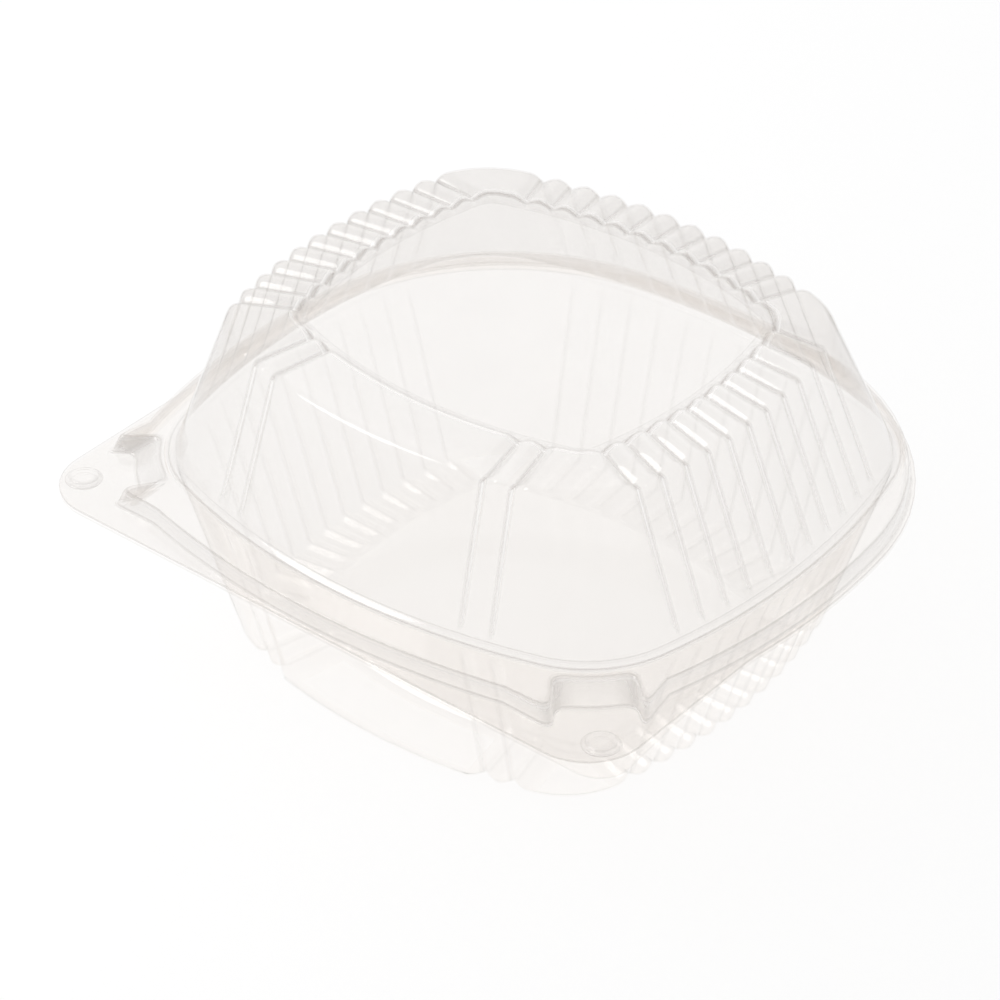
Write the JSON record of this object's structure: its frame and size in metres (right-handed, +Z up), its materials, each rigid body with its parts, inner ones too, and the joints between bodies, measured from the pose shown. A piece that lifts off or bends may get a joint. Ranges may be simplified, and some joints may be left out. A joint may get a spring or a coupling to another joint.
{
  "type": "hinged clamshell container",
  "caption": "Clear hinged clamshell pack with fluted sides, a sunk panel in lid and foot, a raised rim ring and front tabs, closed.",
  "frame": {"origin": "middle of the pack's outline on the plane it stands on", "axes": "+Z up, X along the hinge, hinge towards +Y, front tabs towards -Y"},
  "size_m": [0.1517, 0.1442, 0.076],
  "materials": {
    "clear_sheet": "clear glossy thin sheet"
  },
  "bodies": {
    "base": {"base_tray": "clear_sheet"},
    "lid": {"lid": "clear_sheet"}
  },
  "joints": [
    {"name": "lid_hinge", "type": "hinge", "parent": "base", "child": "lid", "pos_m": [0, 0.0722, 0.03885], "axis": [-1, 0, 0], "range_deg": [0, 180]}
  ]
}
